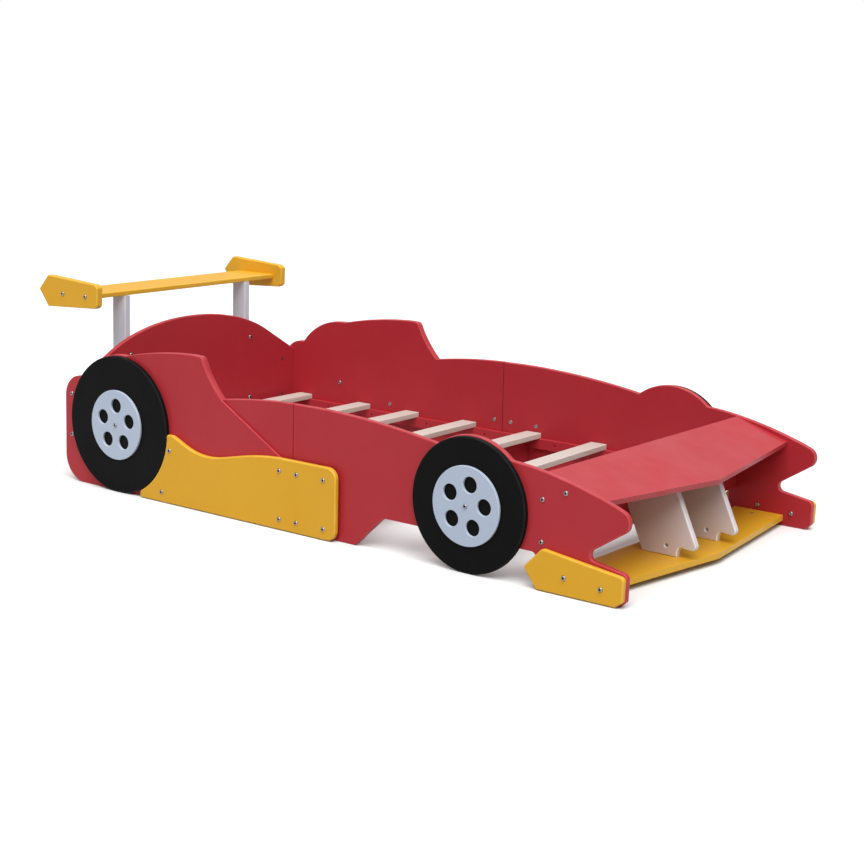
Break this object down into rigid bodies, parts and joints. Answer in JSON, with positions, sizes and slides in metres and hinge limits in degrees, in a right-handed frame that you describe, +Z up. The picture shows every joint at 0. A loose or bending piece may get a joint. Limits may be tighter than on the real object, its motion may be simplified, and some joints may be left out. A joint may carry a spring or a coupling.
{
  "type": "toddler bed",
  "caption": "Toddler bed shaped like a racing car: painted board sides with wheel discs, arched headboard with rear spoiler, sloping nose over a front wing, and a slatted base.",
  "frame": {"origin": "middle of the bed on the floor, under the centre of its outline", "axes": "+X towards the nose, +Y to the car's left side, +Z up"},
  "size_m": [1.7434, 0.8464, 0.4778],
  "materials": {
    "red_paint": "satin painted board",
    "yellow_paint": "satin painted board",
    "black_paint": "satin painted board",
    "silver_paint": "satin painted board",
    "white_paint": "satin painted board",
    "pine": "sanded, unpainted",
    "zinc_steel": "zinc plated"
  },
  "bodies": {
    "root": {"footboard": "red_paint", "front_plate_left": "yellow_paint", "front_plate_right": "yellow_paint", "front_wheel_left_bolt": "zinc_steel", "front_wheel_left_hub": "silver_paint", "front_wheel_left_tyre": "black_paint", "front_wheel_right_bolt": "zinc_steel", "front_wheel_right_hub": "silver_paint", "front_wheel_right_tyre": "black_paint", "front_wing": "yellow_paint", "grille_board_left": "white_paint", "grille_board_right": "white_paint", "headboard": "red_paint", "hood": "red_paint", "hood_cleat_left": "red_paint", "hood_cleat_right": "red_paint", "ledger_front_left": "red_paint", "ledger_front_right": "red_paint", "ledger_rear_left": "red_paint", "ledger_rear_right": "red_paint", "middle_brace": "red_paint", "plate_bolt_left_1": "zinc_steel", "plate_bolt_left_2": "zinc_steel", "plate_bolt_right_1": "zinc_steel", "plate_bolt_right_2": "zinc_steel", "quarter_overlay_left": "red_paint", "quarter_overlay_right": "red_paint", "rear_wheel_left_bolt": "zinc_steel", "rear_wheel_left_hub": "silver_paint", "rear_wheel_left_tyre": "black_paint", "rear_wheel_right_bolt": "zinc_steel", "rear_wheel_right_hub": "silver_paint", "rear_wheel_right_tyre": "black_paint", "side_front_left": "red_paint", "side_front_right": "red_paint", "side_rear_left": "red_paint", "side_rear_right": "red_paint", "skirt_left": "yellow_paint", "skirt_right": "yellow_paint", "slat_1": "pine", "slat_2": "pine", "slat_3": "pine", "slat_4": "pine", "slat_5": "pine", "slat_6": "pine", "slat_7": "pine", "slat_8": "pine", "spoiler_blade": "yellow_paint", "spoiler_bolt_left_1": "zinc_steel", "spoiler_bolt_left_2": "zinc_steel", "spoiler_bolt_right_1": "zinc_steel", "spoiler_bolt_right_2": "zinc_steel", "spoiler_plate_left": "yellow_paint", "spoiler_plate_right": "yellow_paint", "spoiler_post_left": "white_paint", "spoiler_post_right": "white_paint", "wing_cleat_left": "red_paint", "wing_cleat_right": "red_paint"}
  },
  "joints": []
}
